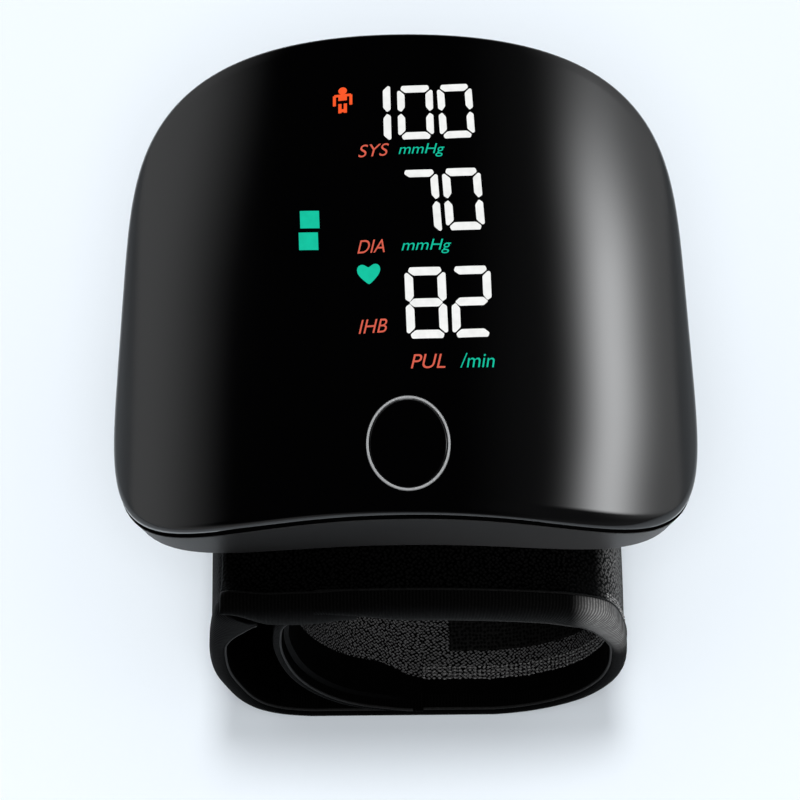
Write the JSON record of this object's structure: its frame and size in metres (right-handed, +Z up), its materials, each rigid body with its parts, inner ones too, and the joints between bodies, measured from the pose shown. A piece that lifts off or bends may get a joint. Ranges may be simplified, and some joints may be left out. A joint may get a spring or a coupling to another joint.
{
  "type": "wrist blood pressure monitor",
  "caption": "Wrist blood pressure monitor: an arched glossy housing with a lit display and oval start button, on a coiled fabric cuff with a peel-off tail.",
  "frame": {"origin": "on the flat underside of the coiled cuff, under the middle of the housing", "axes": "+Z up and out of the display, +Y towards the display's top edge, +X to the reader's right"},
  "size_m": [0.079, 0.0772, 0.0639],
  "materials": {
    "cover_gloss": "piano-black moulded plastic with a window for the display",
    "shell_satin": "fine satin black moulded plastic",
    "ring_chrome": "bright plated trim",
    "cuff_fabric": "black knitted loop fabric",
    "cuff_mesh": "black spacer mesh lining",
    "edge_tape": "black woven edge tape",
    "hook_tape": "black hook tape",
    "rubber_black": "moulded black rubber",
    "white_plastic": "white moulded plastic",
    "dark_plastic": "dark moulded plastic",
    "board_green": "green circuit board",
    "foil_silver": "aluminium laminate pouch",
    "steel_plain": "plated steel",
    "brass_plain": "turned brass"
  },
  "bodies": {
    "root": {"front_cover": "cover_gloss", "rear_housing": "shell_satin", "housing_screw_1": "steel_plain", "housing_screw_2": "steel_plain", "housing_screw_3": "steel_plain", "housing_screw_4": "steel_plain", "button_trim_ring": "ring_chrome", "switch_body": "dark_plastic", "main_board": "board_green", "display_reflector": "white_plastic", "display_diffuser": "white_plastic", "battery_cell": "foil_silver", "pump_head": "dark_plastic", "pump_motor": "steel_plain", "valve_body": "steel_plain", "air_manifold": "rubber_black", "air_nipple": "white_plastic", "pressure_sensor": "dark_plastic", "sounder": "dark_plastic", "charging_socket": "steel_plain", "cuff_mounting_plate": "dark_plastic", "plate_screw_1": "steel_plain", "plate_screw_2": "steel_plain", "cuff_outer_fabric": "cuff_fabric", "cuff_inner_lining": "cuff_mesh", "cuff_stiffener": "dark_plastic", "cuff_bladder": "rubber_black", "cuff_front_binding": "edge_tape", "cuff_rear_binding": "edge_tape"},
    "start_button": {"start_button_cap": "cover_gloss"},
    "switch_button": {"switch_plunger": "white_plastic"},
    "pump_shaft": {"pump_crank": "brass_plain"},
    "valve_core": {"valve_plunger": "brass_plain"},
    "cuff_flap": {"cuff_tail": "cuff_fabric", "cuff_tail_hook": "hook_tape", "cuff_tail_front_binding": "edge_tape", "cuff_tail_rear_binding": "edge_tape"}
  },
  "joints": [
    {"name": "start_button_press", "type": "slide", "parent": "root", "child": "start_button", "axis": [0, 0, -1], "range_m": [0, 0.0005], "stiffness_N_per_m": 1500},
    {"name": "switch_plunger_press", "type": "slide", "parent": "root", "child": "switch_button", "axis": [0, 0, -1], "range_m": [0, 0.0006]},
    {"name": "pump_shaft_spin", "type": "hinge", "parent": "root", "child": "pump_shaft", "pos_m": [0.02, 0.0046, 0.0524], "axis": [0, 1, 0], "continuous": true},
    {"name": "valve_core_slide", "type": "slide", "parent": "root", "child": "valve_core", "axis": [0, 1, 0], "range_m": [0, 0.0008], "stiffness_N_per_m": 120},
    {"name": "cuff_flap_peel", "type": "hinge", "parent": "root", "child": "cuff_flap", "pos_m": [-0.02179, -0.0072, 0.00519], "axis": [0, -1, 0], "range_deg": [0, 75]}
  ],
  "couplings": [
    {"joint": "switch_plunger_press", "follows": "start_button_press", "ratio": 1}
  ]
}
